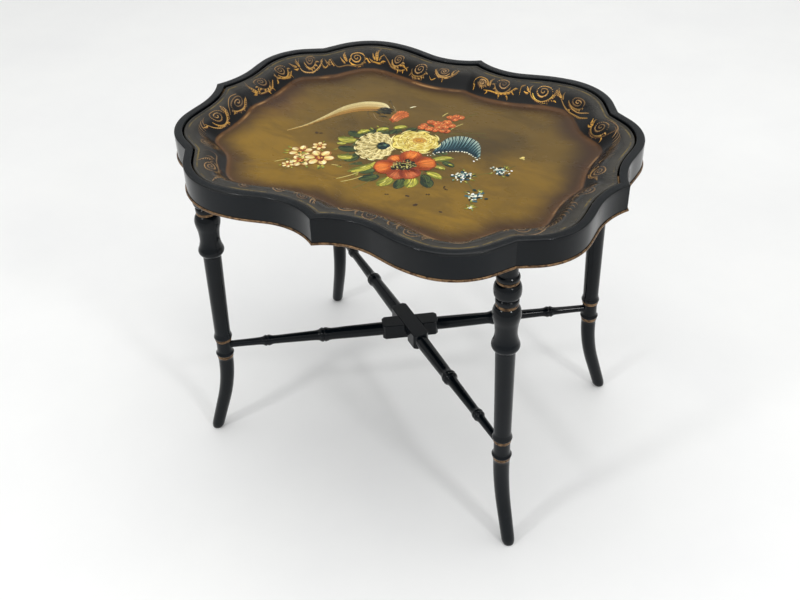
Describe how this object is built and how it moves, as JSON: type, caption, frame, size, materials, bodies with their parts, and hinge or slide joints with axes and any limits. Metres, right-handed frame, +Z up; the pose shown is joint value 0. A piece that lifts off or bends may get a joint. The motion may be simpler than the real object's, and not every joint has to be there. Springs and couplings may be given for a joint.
{
  "type": "tray table",
  "caption": "Low oblong table with a scalloped outline: a shallow painted metal tray lifts out of a black lacquered stand with turned legs and crossed stretchers.",
  "frame": {"origin": "on the floor, under the middle of the table", "axes": "+X along the table's length, -Y towards its front long side, +Z up"},
  "size_m": [0.684, 0.5262, 0.552],
  "materials": {
    "painted_tray": "glossy olive-brown glaze on pressed steel with a painted flower picture and a black border with gilt scrolls",
    "black_lacquer": "glossy black lacquer with worn gilt bands on the turned parts",
    "gilt_edged_board": "thin board, black below, with a worn gilt rounded edge",
    "bare_wood": "unfinished softwood, hidden",
    "steel": "zinc-plated screws"
  },
  "bodies": {
    "stand": {"apron_back_left": "black_lacquer", "apron_back_right": "black_lacquer", "apron_front_left": "black_lacquer", "apron_front_right": "black_lacquer", "apron_left_end_back": "black_lacquer", "apron_left_end_front": "black_lacquer", "apron_right_end_back": "black_lacquer", "apron_right_end_front": "black_lacquer", "base_board": "gilt_edged_board", "corner_block_back_left": "bare_wood", "corner_block_back_right": "bare_wood", "corner_block_front_left": "bare_wood", "corner_block_front_right": "bare_wood", "leg_back_left": "black_lacquer", "leg_back_right": "black_lacquer", "leg_front_left": "black_lacquer", "leg_front_right": "black_lacquer", "screw_apron_back_left": "steel", "screw_apron_back_right": "steel", "screw_apron_end_back_left": "steel", "screw_apron_end_back_right": "steel", "screw_apron_end_front_left": "steel", "screw_apron_end_front_right": "steel", "screw_apron_front_left": "steel", "screw_apron_front_right": "steel", "screw_corner_block_back_left": "steel", "screw_corner_block_back_right": "steel", "screw_corner_block_front_left": "steel", "screw_corner_block_front_right": "steel", "screw_stretcher_lap": "steel", "screw_tip_block_back": "steel", "screw_tip_block_front": "steel", "screw_tip_block_left": "steel", "screw_tip_block_right": "steel", "stretcher_front_left_to_back_right": "black_lacquer", "stretcher_front_right_to_back_left": "black_lacquer", "tip_block_back": "bare_wood", "tip_block_front": "bare_wood", "tip_block_left": "bare_wood", "tip_block_right": "bare_wood"},
    "tray": {"tray": "painted_tray"}
  },
  "joints": [
    {"name": "tray_lift", "type": "slide", "parent": "stand", "child": "tray", "axis": [0, 0, 1], "range_m": [0, 0.1]}
  ]
}
